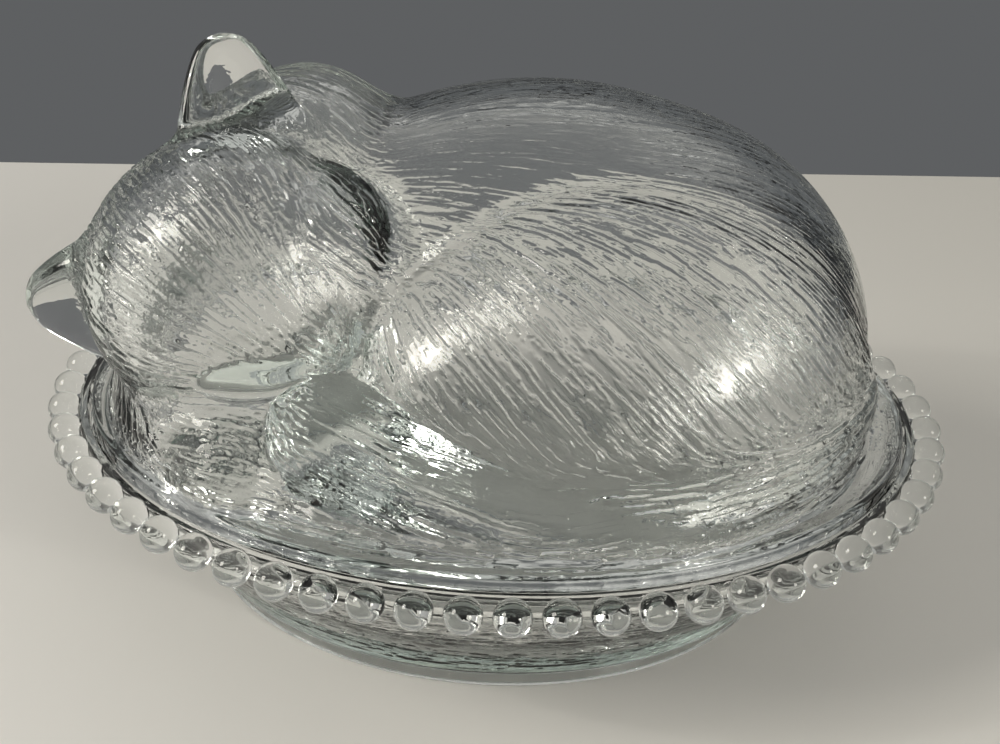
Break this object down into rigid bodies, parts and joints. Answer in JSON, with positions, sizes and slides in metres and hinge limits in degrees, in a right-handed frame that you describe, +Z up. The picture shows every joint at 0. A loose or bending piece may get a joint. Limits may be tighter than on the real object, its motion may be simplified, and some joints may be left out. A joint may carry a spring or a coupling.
{
  "type": "covered glass dish",
  "caption": "Oval footed dish of clear pressed glass with a beaded rim, and a lift-off lid moulded as a cat asleep in a curl.",
  "frame": {"origin": "on the table under the middle of the dish's foot", "axes": "+X along the oval's long axis, towards the cat's rump; +Z up; the cat's face, tail and haunch are on the -Y side"},
  "size_m": [0.1774, 0.1396, 0.1065],
  "materials": {
    "dish": "clear pressed glass with a fine short-stroke texture on the outside",
    "cat_lid": "clear pressed glass with fine moulded fur lines on the outside, smooth inside"
  },
  "bodies": {
    "dish": {"dish": "dish"},
    "lid": {"cat_lid": "cat_lid"}
  },
  "joints": [
    {"name": "lid_lift", "type": "slide", "parent": "dish", "child": "lid", "axis": [0, 0, 1], "range_m": [0, 0.12]}
  ]
}
